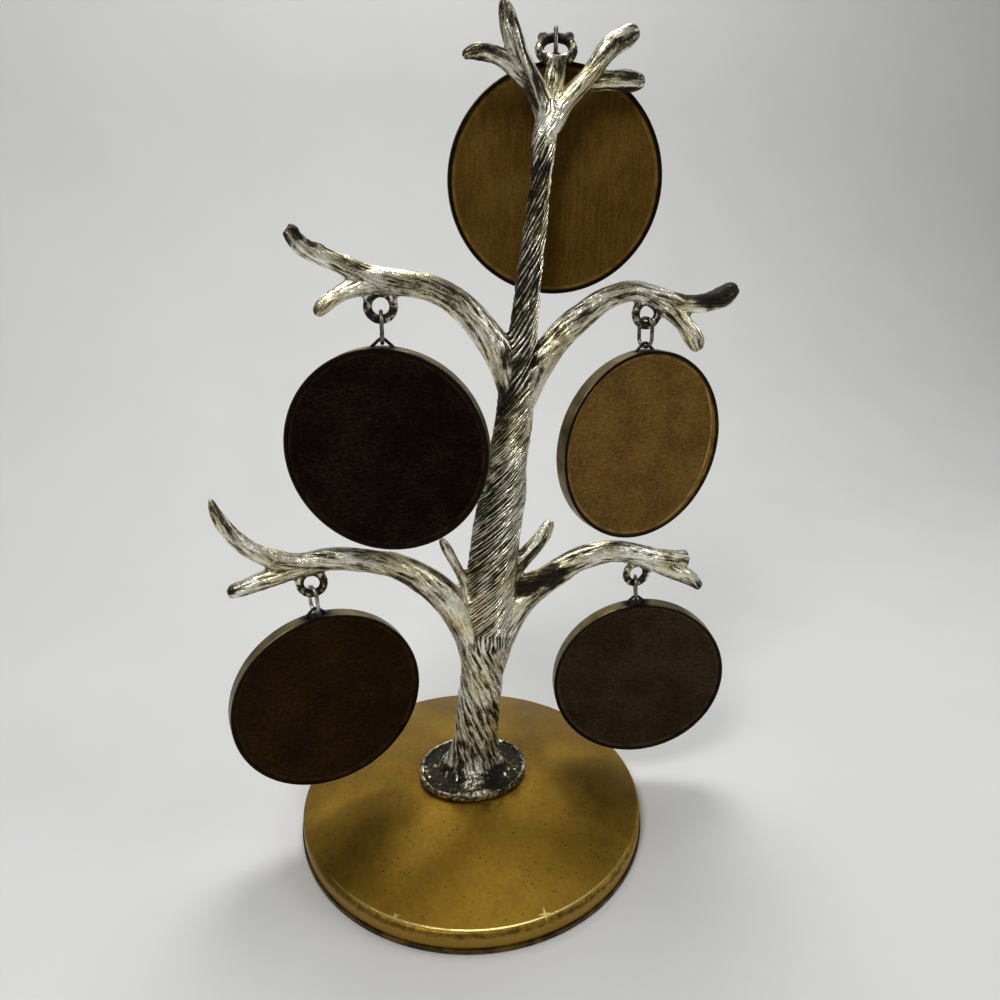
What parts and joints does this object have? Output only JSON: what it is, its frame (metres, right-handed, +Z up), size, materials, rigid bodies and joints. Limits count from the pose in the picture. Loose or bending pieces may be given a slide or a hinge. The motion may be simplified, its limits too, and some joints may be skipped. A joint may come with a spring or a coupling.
{
  "type": "photo tree stand",
  "caption": "Cast metal family-tree photo stand on a round domed base, with small round glazed frames hung by wire links.",
  "frame": {"origin": "centre of the base where its felt pad rests on the table", "axes": "+Z up the trunk from the table, +X along the branches towards the lower branch with the blunt end, -Y the side that the frames' backing cards face, +Y the side of the glass"},
  "size_m": [0.1453, 0.1028, 0.2168],
  "materials": {
    "antique_silver": "satin",
    "base_brass": "satin",
    "frame_brass": "satin",
    "wire_brass": "satin",
    "weight_iron": "matte",
    "pad_felt": "matte",
    "screw_steel": "satin",
    "pane_glass": "gloss",
    "photo_paper": "satin",
    "backing_card": "matte"
  },
  "bodies": {
    "stand": {"tree_casting": "antique_silver", "base_shell": "base_brass", "base_weight": "weight_iron", "felt_pad": "pad_felt", "fixing_screw": "screw_steel", "screw_washer": "screw_steel"},
    "top_hanger": {"top_link": "wire_brass"},
    "top_frame": {"top_bezel": "frame_brass", "top_bail": "wire_brass", "top_glass": "pane_glass", "top_print": "photo_paper", "top_backing": "backing_card"},
    "upper_left_hanger": {"upper_left_link": "wire_brass"},
    "upper_left_frame": {"upper_left_bezel": "frame_brass", "upper_left_bail": "wire_brass", "upper_left_glass": "pane_glass", "upper_left_print": "photo_paper", "upper_left_backing": "backing_card"},
    "upper_right_hanger": {"upper_right_link": "wire_brass"},
    "upper_right_frame": {"upper_right_bezel": "frame_brass", "upper_right_bail": "wire_brass", "upper_right_glass": "pane_glass", "upper_right_print": "photo_paper", "upper_right_backing": "backing_card"},
    "lower_left_hanger": {"lower_left_link": "wire_brass"},
    "lower_left_frame": {"lower_left_bezel": "frame_brass", "lower_left_bail": "wire_brass", "lower_left_glass": "pane_glass", "lower_left_print": "photo_paper", "lower_left_backing": "backing_card"},
    "lower_right_hanger": {"lower_right_link": "wire_brass"},
    "lower_right_frame": {"lower_right_bezel": "frame_brass", "lower_right_bail": "wire_brass", "lower_right_glass": "pane_glass", "lower_right_print": "photo_paper", "lower_right_backing": "backing_card"}
  },
  "joints": [
    {"name": "top_link_swing", "type": "hinge", "parent": "stand", "child": "top_hanger", "pos_m": [0.02261, 0.00743, 0.21165], "axis": [0.9703, -0.2419, 0], "range_deg": [0, 35]},
    {"name": "top_frame_turn", "type": "hinge", "parent": "top_hanger", "child": "top_frame", "pos_m": [0.02261, 0.00743, 0.21165], "axis": [-0.0175, 0, 0.9998], "range_deg": [-4, 5]},
    {"name": "upper_left_link_swing", "type": "hinge", "parent": "stand", "child": "upper_left_hanger", "pos_m": [-0.02148, 0, 0.1491], "axis": [1, 0, 0], "range_deg": [-35, 35]},
    {"name": "upper_left_frame_turn", "type": "hinge", "parent": "upper_left_hanger", "child": "upper_left_frame", "pos_m": [-0.02148, 0, 0.1491], "axis": [0, 0, 1], "range_deg": [-20, 5]},
    {"name": "upper_right_link_swing", "type": "hinge", "parent": "stand", "child": "upper_right_hanger", "pos_m": [0.04702, 0, 0.1462], "axis": [1, 0, 0], "range_deg": [-35, 35]},
    {"name": "upper_right_frame_turn", "type": "hinge", "parent": "upper_right_hanger", "child": "upper_right_frame", "pos_m": [0.04702, 0, 0.1462], "axis": [-0.0262, 0, 0.9997], "range_deg": [-30, 40]},
    {"name": "lower_left_link_swing", "type": "hinge", "parent": "stand", "child": "lower_left_hanger", "pos_m": [-0.04273, 0, 0.07895], "axis": [1, 0, 0], "range_deg": [-35, 35]},
    {"name": "lower_left_frame_turn", "type": "hinge", "parent": "lower_left_hanger", "child": "lower_left_frame", "pos_m": [-0.04273, 0, 0.07895], "axis": [-0.0523, 0, 0.9986], "range_deg": [-25, 40]},
    {"name": "lower_right_link_swing", "type": "hinge", "parent": "stand", "child": "lower_right_hanger", "pos_m": [0.0495, 0, 0.07165], "axis": [1, 0, 0], "range_deg": [-35, 35]},
    {"name": "lower_right_frame_turn", "type": "hinge", "parent": "lower_right_hanger", "child": "lower_right_frame", "pos_m": [0.0495, 0, 0.07165], "axis": [-0.0872, 0, 0.9962], "range_deg": [-40, 20]}
  ]
}
